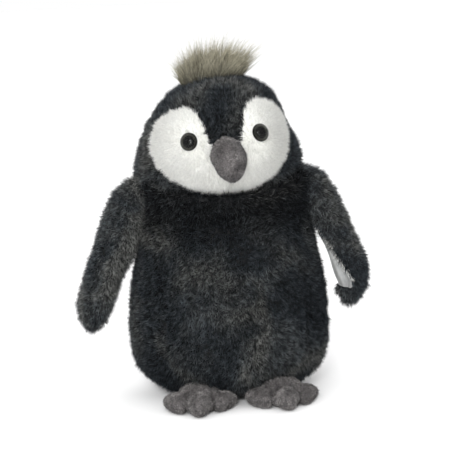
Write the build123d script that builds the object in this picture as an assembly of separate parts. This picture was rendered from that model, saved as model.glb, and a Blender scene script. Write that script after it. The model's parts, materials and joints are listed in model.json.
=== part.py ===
from build123d import *
import math
import os

# A stuffed standing penguin toy, about 243 mm tall with its crest.
# Frame: origin at the middle of the flat base, +Z up, the face looks towards -Y,
# and the toy's own left side is +X.  All lengths are in millimetres.

# ---- fabric ---------------------------------------------------------------------
PLUSH_THICKNESS = 4.0        # backing cloth and pile of the body fabric
SHORT_PILE_THICKNESS = 2.2   # backing cloth and pile of the beak and feet
FILL_GAP = 0.3               # room between fabric and stuffing
JOINT_GAP = 0.6              # room between two pieces that move against each other

# ---- torso: a ball below, a slim cone above, tangent to each other ---------------
TORSO_RADIUS = 68.0
TORSO_BALL_HEIGHT = 50.0     # centre of the ball above the flat base
TORSO_TAPER = 9.0            # half angle of the cone
TORSO_TOP = 158.0
COLLAR_HEIGHT = 148.0        # the neck edge, at the toy's sides
COLLAR_TILT = 9.5            # the neck edge drops towards the face
BASE_SEAM_HEIGHT = 9.0       # the oval base panel turns up this far
FRONT_SEAM_ANGLE = 51.0      # front seams, measured from straight ahead

# ---- head -----------------------------------------------------------------------
HEAD_RADIUS = 53.5
HEAD_HEIGHT = 168.0          # centre of the head ball, and of both neck joints
HEAD_ROLL = 3.7              # the head leans over towards the toy's right
GUSSET_HALF_WIDTH = 15.0     # dark strip over the crown
PATCH_CORNERS = [            # the pale face's left half, seen from ahead, from the peak round
    (13.0, 12.0),
    (14.5, 35.0),
    (41.0, 38.0),
    (51.0, 10.0),
    (42.0, -16.0),
    (20.0, -28.0),
]
PATCH_ROUNDING = 9.0
NECK_CORE_RADIUS = 36.0      # ball of head stuffing that the neck stuffing cups
NECK_PLUG_ANGLE = 28.0       # half angle of the neck stuffing
NECK_OPENING_ANGLE = 46.0    # half angle of the opening in the head's fabric

# ---- beak -----------------------------------------------------------------------
BEAK_ROOT_RADIUS = 13.8
BEAK_TIP_RADIUS = 6.6
BEAK_LENGTH = 27.0
BEAK_ROOT_DEPTH = 8.0        # the cone is carried on this far inside the head
BEAK_DROOP = 27.0            # the beak points this far below level
BEAK_ROOT_HEIGHT = 2.0       # above the head's centre

# ---- crest ----------------------------------------------------------------------
CREST_CORNERS = [            # sideways, height above the head's centre
    (-23.0, 45.0),
    (-20.0, 66.0),
    (2.0, 75.0),
    (16.0, 75.0),
    (22.0, 62.0),
    (23.0, 45.0),
]
CREST_HALF_DEPTH = 12.0
CREST_ROUNDING = 3.0

# ---- eyes -----------------------------------------------------------------------
EYE_RADIUS = 6.0
EYE_DOME_HEIGHT = 3.6
EYE_SIDE = 25.0              # sideways from the middle of the face
EYE_RISE = 13.7              # above the head's centre
EYE_SEAT = 1.6               # the eye's disc is pressed this far into the pile
EYE_DISC_THICKNESS = 1.2
EYE_SHANK_RADIUS = 1.7
EYE_SHANK_LENGTH = 12.0
EYE_WASHER_RADIUS = 6.5
EYE_WASHER_THICKNESS = 1.0
EYE_WASHER_DEPTH = 3.2       # below the eye's seat, just clear of the curved fabric

# ---- wings ----------------------------------------------------------------------
SHOULDER_SIDE = 62.0
SHOULDER_HEIGHT = 128.0
SHOULDER_RADIUS = 16.0
WING_ROUNDS = [              # distance below the shoulder, half chord
    (8.0, 12.0),
    (50.0, 17.5),
    (76.0, 12.5),
]
WING_HALF_THICKNESS = 8.0
WING_EDGE_ROUNDING = 7.0
WING_OFFSET = 2.0            # the flat of the wing lies this far outside the shoulder
WINGS = {                    # splay from straight down, turn of the outer face to the front
    "left": dict(side=1, splay=20.0, turn=20.0, stretch=0.98),
    "right": dict(side=-1, splay=24.0, turn=20.0, stretch=1.1),
}

# ---- feet -----------------------------------------------------------------------
FOOT_SPREAD = 27.0           # middle of each foot from the toy's middle
FOOT_TOE_OUT = 5.0           # each foot points this far outwards
HEEL_DEPTH = -48.0           # the hinge line, along the heel seam
HEEL_HEIGHT = 6.8
HEEL_HALF_WIDTH = 14.0
TOE_RADIUS = 6.8
TOES = {                     # fan angle, length from the hinge to the toe's end
    0.0: 37.0,
    36.0: 31.0,
    -36.0: 31.0,
}
WEB_RADIUS = 18.0            # the flat between the toes
WEB_HALF_HEIGHT = 5.0
SOLE_HEIGHT = 3.6
FOOT_UP_LIMIT = 16.0
FOOT_ROOM_HALF_WIDTH = 25.0

# ---- weighted pouch and label ----------------------------------------------------
POUCH_RADIUS = 34.0
POUCH_HEIGHT = 22.0
POUCH_FLOOR = 6.0
POUCH_ROUNDING = 8.0
POUCH_CLOTH = 0.8
LABEL_WIDTH = 18.0
LABEL_DROP = 24.0
LABEL_THICKNESS = 0.5
LABEL_HEIGHT = 40.0          # middle of the label above the base

FAR = 400.0                  # larger than the toy
UP = (Align.CENTER, Align.CENTER, Align.MIN)
DOWN = (Align.CENTER, Align.CENTER, Align.MAX)


def ball(radius, centre):
    return Sphere(radius).moved(Location(centre))


def half_space(origin, normal):
    """A large box filling the side of a plane that its normal points to."""
    return Plane(origin=origin, z_dir=normal) * Box(FAR, FAR, FAR, align=UP)


def cone_down(half_angle):
    """A solid cone that opens downwards from the origin."""
    reach = FAR / 4
    cone = Cone(reach * math.tan(math.radians(half_angle)), 0.0, reach, align=DOWN)
    return cone


# ---- torso ----------------------------------------------------------------------
def torso_solid(inset):
    """The torso's outer form, or a smaller copy of it for the stuffing."""
    radius = TORSO_RADIUS - inset
    taper = math.radians(TORSO_TAPER)
    floor = -TORSO_BALL_HEIGHT + inset
    base = (math.sqrt(radius ** 2 - floor ** 2), floor)
    middle = (radius, 0.0)
    tangent = (radius * math.cos(taper), radius * math.sin(taper))
    top = TORSO_TOP - TORSO_BALL_HEIGHT
    neck = (tangent[0] - (top - tangent[1]) * math.tan(taper), top)
    outline = make_face(Plane.XZ * (
        ThreePointArc(base, middle, tangent)
        + Polyline(tangent, neck, (0, top), (0, floor), base)
    ))
    return revolve(outline, Axis.Z).moved(Location((0, 0, TORSO_BALL_HEIGHT)))


def shoulder_centre(side):
    return (side * SHOULDER_SIDE, 0.0, SHOULDER_HEIGHT)


def foot_frame(side):
    """Where a foot's own origin, the middle of its hinge line, sits on the toy."""
    return Location((side * FOOT_SPREAD, HEEL_DEPTH, HEEL_HEIGHT), (0, 0, side * FOOT_TOE_OUT))


def foot_room(side):
    """The notch under the torso's front edge that one foot moves in."""
    clear = TOE_RADIUS + JOINT_GAP
    slope = math.radians(FOOT_UP_LIMIT + 1)
    reach = FAR / 4
    profile = Polyline(
        (0, -reach),
        (-reach, -reach),
        (-reach, clear / math.cos(slope) + reach * math.tan(slope)),
        (0, clear / math.cos(slope)),
        close=True,
    )
    block = extrude(make_face(Plane.YZ * profile), FOOT_ROOM_HALF_WIDTH, both=True)
    heel = Cylinder(clear, 2 * FOOT_ROOM_HALF_WIDTH, rotation=(0, 90, 0))
    return (block + heel).moved(foot_frame(side))


def torso_hollows():
    """Everything that bears against the torso from outside, with room to move."""
    hollows = ball(HEAD_RADIUS + JOINT_GAP, (0, 0, HEAD_HEIGHT))
    tilt = math.radians(COLLAR_TILT)
    hollows = hollows + half_space((0, 0, COLLAR_HEIGHT), (0, -math.sin(tilt), math.cos(tilt)))
    for side in (1, -1):
        hollows = hollows + ball(SHOULDER_RADIUS + JOINT_GAP, shoulder_centre(side))
        hollows = hollows + foot_room(side)
    return hollows


def seam_side(angle):
    """Everything on the +angle side of an upright seam plane, angle from straight ahead."""
    turn = math.radians(angle)
    return half_space((0, 0, 0), (math.cos(turn), math.sin(turn), 0))


def make_torso():
    hollows = torso_hollows()
    outer = torso_solid(0.0) - hollows
    skin = outer - torso_solid(PLUSH_THICKNESS)
    base_zone = half_space((0, 0, BASE_SEAM_HEIGHT), (0, 0, -1))
    wall = skin - base_zone
    left_back = seam_side(FRONT_SEAM_ANGLE)
    left = wall & half_space((0, 0, 0), (1, 0, 0))
    right = wall & half_space((0, 0, 0), (-1, 0, 0))
    right_front = seam_side(-FRONT_SEAM_ANGLE)
    pouch = Cylinder(POUCH_RADIUS, POUCH_HEIGHT, align=UP)
    pouch = fillet(pouch.edges().filter_by(GeomType.CIRCLE), POUCH_ROUNDING)
    pouch = pouch.moved(Location((0, 0, POUCH_FLOOR)))
    pellets = Cylinder(POUCH_RADIUS - POUCH_CLOTH, POUCH_HEIGHT - 2 * POUCH_CLOTH, align=UP)
    pellets = fillet(pellets.edges().filter_by(GeomType.CIRCLE), POUCH_ROUNDING - POUCH_CLOTH)
    pellets = pellets.moved(Location((0, 0, POUCH_FLOOR + POUCH_CLOTH)))
    fill = torso_solid(PLUSH_THICKNESS + FILL_GAP) - hollows
    return {
        "torso_base_panel": skin & base_zone,
        "torso_front_panel": (left - left_back) + (right & right_front),
        "torso_back_left_panel": left & left_back,
        "torso_back_right_panel": right - right_front,
        "torso_fill": fill - pouch,
        "bean_pouch": pouch - pellets,
        "bean_pellets": pellets,
    }


def make_label():
    """A blank folded label, caught in the centre back seam."""
    label = Box(LABEL_THICKNESS, LABEL_WIDTH, LABEL_DROP)
    label = label.moved(Location((0, TORSO_RADIUS + LABEL_WIDTH / 4, LABEL_HEIGHT)))
    return label - torso_solid(0.0)


# ---- head -----------------------------------------------------------------------
def head_place(shape):
    """Put a shape made round the face's own centre at its place on the toy."""
    return shape.rotate(Axis.Y, -HEAD_ROLL).moved(Location((0, 0, HEAD_HEIGHT)))


def patch_prism():
    """The pale face's outline, extruded forwards from the head's centre."""
    mirrored = [(-across, up) for across, up in reversed(PATCH_CORNERS)]
    outline = FilletPolyline(*(PATCH_CORNERS + mirrored), radius=PATCH_ROUNDING, close=True)
    return extrude(make_face(Plane.XZ * outline), FAR, dir=(0, -1, 0))


def eye_plane(side):
    """A plane square to the eye's shank, where the eye's disc meets its dome."""
    depth = math.sqrt(HEAD_RADIUS ** 2 - EYE_SIDE ** 2 - EYE_RISE ** 2)
    point = Vector(side * EYE_SIDE, -depth, EYE_RISE)
    out = point.normalized()
    return Plane(origin=point - out * EYE_SEAT, z_dir=out)


def make_eye(side, name):
    seat = eye_plane(side)
    dome_radius = (EYE_RADIUS ** 2 + EYE_DOME_HEIGHT ** 2) / (2 * EYE_DOME_HEIGHT)
    dome = ball(dome_radius, (0, 0, EYE_DOME_HEIGHT - dome_radius))
    dome = dome & Cylinder(EYE_RADIUS + 1, EYE_DOME_HEIGHT + 1, align=UP)
    post = Cylinder(EYE_RADIUS, EYE_DISC_THICKNESS, align=DOWN)
    post = post + Cylinder(EYE_SHANK_RADIUS, EYE_SHANK_LENGTH, align=DOWN)
    washer = Cylinder(EYE_WASHER_RADIUS, EYE_WASHER_THICKNESS, align=DOWN)
    washer = washer - Cylinder(EYE_SHANK_RADIUS, 4 * EYE_WASHER_THICKNESS)
    washer = washer.moved(Location((0, 0, -EYE_WASHER_DEPTH)))
    return {
        "eye_" + name + "_lens": head_place(seat * dome),
        "eye_" + name + "_post": head_place(seat * post),
        "eye_" + name + "_washer": head_place(seat * washer),
    }


def eye_socket(side):
    """Room for an eye in the fabric."""
    socket = Cylinder(EYE_RADIUS, 4 * EYE_SEAT, align=UP)
    socket = socket + Cylinder(EYE_RADIUS, EYE_DISC_THICKNESS, align=DOWN)
    return eye_plane(side) * (socket + Cylinder(EYE_SHANK_RADIUS, EYE_SHANK_LENGTH, align=DOWN))


def washer_pocket(side):
    """Room for an eye's washer and shank in the stuffing."""
    depth = EYE_WASHER_DEPTH + EYE_WASHER_THICKNESS + FILL_GAP
    pocket = Cylinder(EYE_WASHER_RADIUS + FILL_GAP, depth, align=DOWN)
    shank = Cylinder(EYE_SHANK_RADIUS + FILL_GAP, EYE_SHANK_LENGTH + FILL_GAP, align=DOWN)
    return eye_plane(side) * (pocket + shank)


def beak_form(inset):
    """A blunt drooping cone with a ball tip, turned about its own axis."""
    root_radius = BEAK_ROOT_RADIUS - inset
    tip_radius = BEAK_TIP_RADIUS - inset
    tip_centre = BEAK_LENGTH - BEAK_TIP_RADIUS
    taper = math.asin((root_radius - tip_radius) / tip_centre)
    root_end = root_radius / math.cos(taper) + BEAK_ROOT_DEPTH * math.tan(taper)
    meet = (tip_radius * math.cos(taper), tip_centre + tip_radius * math.sin(taper))
    halfway = (math.pi / 2 + taper) / 2
    bulge = (tip_radius * math.cos(halfway), tip_centre + tip_radius * math.sin(halfway))
    tip = (0.0, tip_centre + tip_radius)
    outline = make_face(Plane.XZ * (
        ThreePointArc(meet, bulge, tip)
        + Polyline(tip, (0, -BEAK_ROOT_DEPTH), (root_end, -BEAK_ROOT_DEPTH), meet)
    ))
    droop = math.radians(BEAK_DROOP)
    forward = (0, -math.cos(droop), -math.sin(droop))
    root = (0, -HEAD_RADIUS, BEAK_ROOT_HEIGHT)
    return Plane(origin=root, x_dir=(1, 0, 0), z_dir=forward) * revolve(outline, Axis.Z)


def make_crest():
    outline = FilletPolyline(*CREST_CORNERS, radius=CREST_ROUNDING, close=True)
    tuft = extrude(make_face(Plane.XZ * outline), CREST_HALF_DEPTH, both=True)
    return head_place(tuft - Sphere(HEAD_RADIUS))


def make_head():
    outer = Sphere(HEAD_RADIUS)
    opening = cone_down(NECK_OPENING_ANGLE)
    skin = outer - Sphere(HEAD_RADIUS - PLUSH_THICKNESS) - opening
    patch = patch_prism()
    face = skin & patch
    fur = skin - patch
    stuffing = Sphere(HEAD_RADIUS - PLUSH_THICKNESS - FILL_GAP)
    stuffing = stuffing - (opening - Sphere(NECK_CORE_RADIUS))
    for side in (1, -1):
        face = face - eye_socket(side)
        stuffing = stuffing - washer_pocket(side)
    left_half = half_space((0, 0, 0), (1, 0, 0))
    right_half = half_space((0, 0, 0), (-1, 0, 0))
    left_side = half_space((GUSSET_HALF_WIDTH, 0, 0), (1, 0, 0))
    right_side = half_space((-GUSSET_HALF_WIDTH, 0, 0), (-1, 0, 0))
    beak_skin = beak_form(0.0) - beak_form(SHORT_PILE_THICKNESS) - outer
    beak_stuffing = beak_form(SHORT_PILE_THICKNESS + FILL_GAP) - Sphere(HEAD_RADIUS + FILL_GAP)
    under_chin = half_space((0, 0, 0), (0, -1, 0)) & half_space((0, 0, 0), (0, 0, -1))
    chin = fur & under_chin
    crown = fur - under_chin
    pieces = {
        "head_gusset": crown - left_side - right_side,
        "head_left_panel": (crown & left_side) + (chin & left_half),
        "head_right_panel": (crown & right_side) + (chin & right_half),
        "face_patch_left": face & left_half,
        "face_patch_right": face & right_half,
        "head_fill": stuffing,
        "beak_left_panel": beak_skin & left_half,
        "beak_right_panel": beak_skin & right_half,
        "beak_fill": beak_stuffing,
    }
    return {name: head_place(piece) for name, piece in pieces.items()}


def make_neck():
    plug = Sphere(HEAD_RADIUS) - Sphere(NECK_CORE_RADIUS + JOINT_GAP)
    plug = plug & cone_down(NECK_PLUG_ANGLE)
    return plug.moved(Location((0, 0, HEAD_HEIGHT)))


# ---- wings ----------------------------------------------------------------------
def wing_form(wing, inset):
    """The flipper, hanging from the shoulder's centre, outer face towards +X."""
    rounds = []
    for distance, half_chord in WING_ROUNDS:
        centre = Location((0, -distance * wing["stretch"]))
        rounds += (centre * Circle(half_chord - inset)).edges()
    outline = Plane.YZ * make_hull(rounds)
    flat = extrude(outline, WING_HALF_THICKNESS - inset, both=True)
    rims = flat.faces().filter_by(Axis.X).edges()
    flat = fillet(rims, WING_EDGE_ROUNDING - inset)
    turned = flat.moved(Location((WING_OFFSET, 0, 0))).rotate(Axis.Z, -wing["turn"])
    return turned + Sphere(SHOULDER_RADIUS - inset)


def wing_place(shape, wing):
    if wing["side"] < 0:
        shape = mirror(shape, Plane.YZ)
    shape = shape.rotate(Axis.Y, -wing["side"] * wing["splay"])
    return shape.moved(Location(shoulder_centre(wing["side"])))


def make_wing(name):
    wing = WINGS[name]
    turn = math.radians(wing["turn"])
    outwards = (math.cos(turn), -math.sin(turn), 0)
    seam_point = (WING_OFFSET * math.cos(turn), -WING_OFFSET * math.sin(turn), 0)
    outer_zone = half_space(seam_point, outwards)
    skin = wing_form(wing, 0.0) - wing_form(wing, PLUSH_THICKNESS)
    return {
        "wing_" + name + "_outer_panel": wing_place(skin & outer_zone, wing),
        "wing_" + name + "_lining": wing_place(skin - outer_zone, wing),
        "wing_" + name + "_fill": wing_place(wing_form(wing, PLUSH_THICKNESS + FILL_GAP), wing),
    }


# ---- feet -----------------------------------------------------------------------
def foot_form(inset):
    """Three round toes fanned out from a round heel, joined by a flat web."""
    radius = TOE_RADIUS - inset
    form = Cylinder(WEB_RADIUS - inset, 2 * (WEB_HALF_HEIGHT - inset))
    form = form.moved(Location((0, -WEB_RADIUS, 0)))
    for fan, length in TOES.items():
        straight = length - TOE_RADIUS
        toe = Cylinder(radius, straight, rotation=(90, 0, 0), align=UP)
        toe = toe + ball(radius, (0, -straight, 0))
        form = form + toe.rotate(Axis.Z, fan)
    return form + Cylinder(radius, 2 * (HEEL_HALF_WIDTH - inset), rotation=(0, 90, 0))


def make_foot(name, side):
    skin = foot_form(0.0) - foot_form(SHORT_PILE_THICKNESS)
    seam_point = (0, 0, SOLE_HEIGHT - HEEL_HEIGHT)
    sole_zone = half_space(seam_point, (0, 0, -1))
    upper_zone = half_space(seam_point, (0, 0, 1))
    place = foot_frame(side)
    return {
        "foot_" + name + "_upper": (skin - sole_zone).moved(place),
        "foot_" + name + "_sole": (skin - upper_zone).moved(place),
        "foot_" + name + "_fill": foot_form(SHORT_PILE_THICKNESS + FILL_GAP).moved(place),
    }


def make_all():
    parts = make_torso()
    parts["care_label"] = make_label()
    parts["neck_fill"] = make_neck()
    parts.update(make_head())
    parts["crest_tuft"] = make_crest()
    for side, name in ((1, "left"), (-1, "right")):
        parts.update(make_eye(side, name))
        parts.update(make_wing(name))
        parts.update(make_foot(name, side))
    return parts


os.makedirs("parts", exist_ok=True)
for node, shape in make_all().items():
    export_step(shape, "parts/" + node + ".step")
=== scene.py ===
import json
import math
import bpy
import numpy as np
from mathutils import Matrix, Vector, kdtree


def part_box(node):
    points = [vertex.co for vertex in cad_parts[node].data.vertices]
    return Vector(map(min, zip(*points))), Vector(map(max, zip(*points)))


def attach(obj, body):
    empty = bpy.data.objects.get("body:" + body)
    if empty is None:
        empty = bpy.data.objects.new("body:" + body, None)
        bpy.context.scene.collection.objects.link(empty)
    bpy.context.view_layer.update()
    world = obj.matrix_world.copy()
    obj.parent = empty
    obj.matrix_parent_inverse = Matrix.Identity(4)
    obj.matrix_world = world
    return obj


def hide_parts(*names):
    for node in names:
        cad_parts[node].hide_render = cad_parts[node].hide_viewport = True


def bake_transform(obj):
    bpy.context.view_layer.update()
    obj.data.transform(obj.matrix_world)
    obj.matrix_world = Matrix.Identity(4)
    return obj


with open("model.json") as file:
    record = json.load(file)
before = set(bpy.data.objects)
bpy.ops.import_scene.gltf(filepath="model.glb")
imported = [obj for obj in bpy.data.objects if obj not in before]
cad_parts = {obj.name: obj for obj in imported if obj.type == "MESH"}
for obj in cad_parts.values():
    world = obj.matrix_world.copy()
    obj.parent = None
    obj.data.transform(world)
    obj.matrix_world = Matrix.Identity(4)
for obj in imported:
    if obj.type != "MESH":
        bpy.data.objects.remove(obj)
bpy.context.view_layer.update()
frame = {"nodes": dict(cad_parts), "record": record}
MM = 0.001


# ---- places and sizes read from the frame
JOINTS = {joint["name"]: joint for joint in frame["record"]["behaviour"]["joints"]}
HEAD_CENTRE = np.array(JOINTS["neck_nod"]["pos_m"])
SIDES = {"left": 1.0, "right": -1.0}
HEAD_ROLL = math.radians(3.7)    # the head leans over towards the toy's right
BODY_HALF_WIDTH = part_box("torso_base_panel")[1].x

PILE = 5.4 * MM                  # length of the body's plush
PILE_STAND = 3.6 * MM            # how far the pile's tips stand off the cloth
UP = np.array((0.0, 0.0, 1.0))


# ---- small helpers
def unit(vectors):
    length = np.linalg.norm(vectors, axis=-1, keepdims=True)
    return vectors / np.maximum(length, 1e-12)


def smoothstep(value, low, high):
    t = np.clip((value - low) / (high - low), 0.0, 1.0)
    return t * t * (3.0 - 2.0 * t)


def bump_at(points, centre, reach):
    """1 at a point, falling smoothly to 0 at about twice the reach."""
    gap = np.linalg.norm(points - np.array(centre), axis=-1)
    return np.exp(-(gap / reach) ** 2)


def waves(points, wavelength, seed, count=7):
    """Smooth repeatable noise from -1 to 1, one value for each point."""
    source = np.random.default_rng(seed)
    total = np.zeros(len(points))
    for _ in range(count):
        direction = unit(source.normal(size=3))
        rate = 2.0 * math.pi / (wavelength * source.uniform(0.75, 1.35))
        total += np.sin(points @ direction * rate + source.uniform(0.0, 2.0 * math.pi))
    return total / math.sqrt(count)


def wave_vectors(points, wavelength, seed):
    return np.stack([waves(points, wavelength, seed + 31 * axis) for axis in range(3)], axis=1)


def smooth_through(knots, values, where):
    """A smooth curve through given points: cubic, with no overshoot at level stretches."""
    knots = np.asarray(knots, float)
    values = np.asarray(values, float)
    steps = np.diff(knots)
    slopes = np.diff(values, axis=0) / (steps[:, None] if values.ndim > 1 else steps)
    inner = 0.5 * (slopes[1:] + slopes[:-1])
    tangents = np.concatenate([slopes[:1], inner, slopes[-1:]])
    index = np.clip(np.searchsorted(knots, where) - 1, 0, len(steps) - 1)
    span = steps[index]
    t = (where - knots[index]) / span
    if values.ndim > 1:
        t = t[:, None]
        span = span[:, None]
    a = (1 + 2 * t) * (1 - t) ** 2 * values[index] + t * (1 - t) ** 2 * span * tangents[index]
    b = t * t * (3 - 2 * t) * values[index + 1] + t * t * (t - 1) * span * tangents[index + 1]
    return a + b


def add_object(name, data):
    """Put a new object that holds a mesh, a light or a camera into the scene."""
    thing = bpy.data.objects.new(name, data)
    bpy.context.scene.collection.objects.link(thing)
    return thing


def new_object(name, verts, faces, attributes=None):
    """A mesh object from numpy arrays; faces is a list of equal-length index arrays."""
    mesh = bpy.data.meshes.new(name)
    verts = np.asarray(verts, np.float32)
    blocks = [np.asarray(block, np.int32) for block in faces if len(block)]
    loops = np.concatenate([block.ravel() for block in blocks])
    sizes = np.concatenate([np.full(len(block), block.shape[1], np.int32) for block in blocks])
    starts = np.concatenate([[0], np.cumsum(sizes)[:-1]]).astype(np.int32)
    mesh.vertices.add(len(verts))
    mesh.vertices.foreach_set("co", verts.ravel())
    mesh.loops.add(len(loops))
    mesh.loops.foreach_set("vertex_index", loops)
    mesh.polygons.add(len(sizes))
    mesh.polygons.foreach_set("loop_start", starts)
    mesh.polygons.foreach_set("use_smooth", np.ones(len(sizes), bool))
    for label, values in (attributes or {}).items():
        layer = mesh.attributes.new(label, "FLOAT", "POINT")
        layer.data.foreach_set("value", np.asarray(values, np.float32))
    mesh.update(calc_edges=True)
    mesh.validate()
    return add_object(name, mesh)


def closed_rings(name, rings, start, end):
    """A closed skin over a stack of rings, shut by a point at each end."""
    count, around = rings.shape[:2]
    verts = np.concatenate([rings.reshape(-1, 3), [start], [end]])
    row = np.arange(around)
    after = (row + 1) % around
    quads = []
    for level in range(count - 1):
        low = level * around
        high = low + around
        quads.append(np.stack([low + row, low + after, high + after, high + row], axis=1))
    first = count * around
    last = first + 1
    top = (count - 1) * around
    caps = np.concatenate([
        np.stack([np.full(around, first), after, row], axis=1),
        np.stack([np.full(around, last), top + row, top + after], axis=1),
    ])
    quads = np.concatenate(quads)
    fans = np.concatenate([quads[:, (0, 1, 2)], quads[:, (0, 2, 3)], caps])
    a, b, c = (verts[fans[:, k]] for k in range(3))
    if np.sum(np.cross(a, b) * c) < 0:
        quads, caps = quads[:, ::-1], caps[:, ::-1]
    return new_object(name, verts, [quads, caps])


def mesh_arrays(piece):
    """Vertices, vertex normals and triangles of a piece."""
    mesh = piece.data
    mesh.calc_loop_triangles()
    verts = np.zeros(len(mesh.vertices) * 3)
    mesh.vertices.foreach_get("co", verts)
    normals = np.zeros(len(mesh.vertices) * 3)
    mesh.vertices.foreach_get("normal", normals)
    triangles = np.zeros(len(mesh.loop_triangles) * 3, np.int32)
    mesh.loop_triangles.foreach_get("vertices", triangles)
    return verts.reshape(-1, 3), normals.reshape(-1, 3), triangles.reshape(-1, 3)


def set_places(piece, verts):
    piece.data.vertices.foreach_set("co", verts.astype(np.float32).ravel())
    piece.data.update()


def belongs(piece, body, slot, *nodes):
    """Fix a piece to a body and hide the CAD nodes that it stands for; slot is not used."""
    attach(piece, body)
    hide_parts(*nodes)


def flatten_modifiers(piece):
    """Apply every modifier of a piece to its mesh."""
    graph = bpy.context.evaluated_depsgraph_get()
    final = bpy.data.meshes.new_from_object(piece.evaluated_get(graph))
    piece.modifiers.clear()
    old = piece.data
    piece.data = final
    bpy.data.meshes.remove(old)


# ---- materials
def node_material(name):
    material = bpy.data.materials.new(name)
    material.use_nodes = True
    tree = material.node_tree
    shader = next(node for node in tree.nodes if node.type == "BSDF_PRINCIPLED")
    return material, tree, shader


def noise(tree, scale, detail=3.0, distortion=0.0):
    place = tree.nodes.new("ShaderNodeTexCoord")
    texture = tree.nodes.new("ShaderNodeTexNoise")
    texture.inputs["Scale"].default_value = scale
    texture.inputs["Detail"].default_value = detail
    texture.inputs["Distortion"].default_value = distortion
    tree.links.new(place.outputs["Object"], texture.inputs["Vector"])
    return texture.outputs["Fac"]


def ramp(tree, factor, stops):
    node = tree.nodes.new("ShaderNodeValToRGB")
    tree.links.new(factor, node.inputs["Fac"])
    elements = node.color_ramp.elements
    while len(elements) < len(stops):
        elements.new(0.5)
    for element, (position, colour) in zip(elements, stops):
        element.position = position
        element.color = (*colour, 1.0)
    return node.outputs["Color"]


def multiply(tree, one, two):
    node = tree.nodes.new("ShaderNodeMix")
    node.data_type = "RGBA"
    node.blend_type = "MULTIPLY"
    node.inputs["Factor"].default_value = 1.0
    tree.links.new(one, node.inputs[6])
    tree.links.new(two, node.inputs[7])
    return node.outputs[2]


def attribute(tree, name):
    node = tree.nodes.new("ShaderNodeAttribute")
    node.attribute_name = name
    return node.outputs["Fac"]


def bump(tree, shader, height, strength, distance):
    node = tree.nodes.new("ShaderNodeBump")
    node.inputs["Strength"].default_value = strength
    node.inputs["Distance"].default_value = distance
    tree.links.new(height, node.inputs["Height"])
    tree.links.new(node.outputs["Normal"], shader.inputs["Normal"])


def vector_math(tree, operation, one, two=None):
    node = tree.nodes.new("ShaderNodeVectorMath")
    node.operation = operation
    tree.links.new(one, node.inputs[0])
    if two is not None:
        node.inputs[1].default_value = two
    return node.outputs["Value" if operation == "LENGTH" else "Vector"]


def pile_material(name, patches, patch_scale, root_shade, tip_shade, sheen, sheen_tint,
                  roughness=0.85, variety=0.3, fine=0.36):
    """Pile: patches of colour over the cloth and fine specks, each hair a little different. Each hair is
    darker at its root, painted shade between the hairs, and paler at its tip, partly its own tipping and
    partly painted sheen; the dark specks partly paint shade between tufts.
    """
    material, tree, shader = node_material(name)
    blotches = ramp(tree, noise(tree, patch_scale, 2.5, 0.6), patches)
    specks = ramp(tree, noise(tree, patch_scale * 13.0, 2.0),
                  [(0.36, (1.0 - fine,) * 3), (0.66, (1.0 + fine,) * 3)])
    colour = multiply(tree, blotches, specks)
    along = ramp(tree, attribute(tree, "along"), [(0.0, (root_shade,) * 3), (1.0, (tip_shade,) * 3)])
    colour = multiply(tree, colour, along)
    tint = ramp(tree, attribute(tree, "tint"), [(0.0, (1.0 - variety,) * 3), (1.0, (1.0 + variety,) * 3)])
    colour = multiply(tree, colour, tint)
    tree.links.new(colour, shader.inputs["Base Color"])
    shader.inputs["Roughness"].default_value = roughness
    shader.inputs["Specular IOR Level"].default_value = 0.04
    shader.inputs["Sheen Weight"].default_value = sheen
    shader.inputs["Sheen Roughness"].default_value = 0.45
    shader.inputs["Sheen Tint"].default_value = (*sheen_tint, 1.0)
    return material


def cloth_material(name, dark, light, scale, sheen, rough, weave=2600.0, depth=0.15 * MM):
    """Backing cloth or velour: two close tones, with a fine woven bump."""
    material, tree, shader = node_material(name)
    tone = ramp(tree, noise(tree, scale, 4.0, 0.4), [(0.3, dark), (0.7, light)])
    tree.links.new(tone, shader.inputs["Base Color"])
    shader.inputs["Roughness"].default_value = rough
    shader.inputs["Sheen Weight"].default_value = sheen
    shader.inputs["Sheen Roughness"].default_value = 0.35
    bump(tree, shader, noise(tree, weave, 2.0), 0.5, depth)
    return material


MATERIALS = {}


CLOTHS = {      # name, dark and light tone, tone scale, sheen, roughness, weave scale, weave depth
    # The plush backing is darkened nearly to black: painted shade in the gaps between the hairs.
    "plush_back": ("plush_backing_painted_shade", (0.003, 0.0035, 0.004), (0.006, 0.0065, 0.007), 60.0, 0.0, 0.95),
    "white_back": ("white_backing", (0.93, 0.93, 0.90), (0.97, 0.97, 0.94), 90.0, 0.0, 0.9),
    "short_back": ("short_backing", (0.075, 0.068, 0.068), (0.11, 0.10, 0.10), 120.0, 0.3, 0.9),
    "lining": ("wing_lining_velour", (0.20, 0.205, 0.205), (0.36, 0.365, 0.36), 140.0, 0.5, 0.55, 3500.0),
    "stuffing": ("stuffing_fibre", (0.75, 0.75, 0.73), (0.88, 0.88, 0.86), 220.0, 0.3, 0.95, 900.0, 0.6 * MM),
    "pouch": ("pouch_cloth", (0.66, 0.65, 0.62), (0.76, 0.75, 0.72), 180.0, 0.1, 0.9),
    "label": ("label_ribbon", (0.82, 0.82, 0.80), (0.90, 0.90, 0.88), 300.0, 0.4, 0.5),
    "pellets": ("moulded_pellets", (0.55, 0.55, 0.53), (0.72, 0.72, 0.70), 500.0, 0.0, 0.4, 420.0, 0.8 * MM),
    "washer": ("moulded_washer", (0.74, 0.74, 0.71), (0.80, 0.80, 0.78), 400.0, 0.0, 0.45),
}


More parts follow.
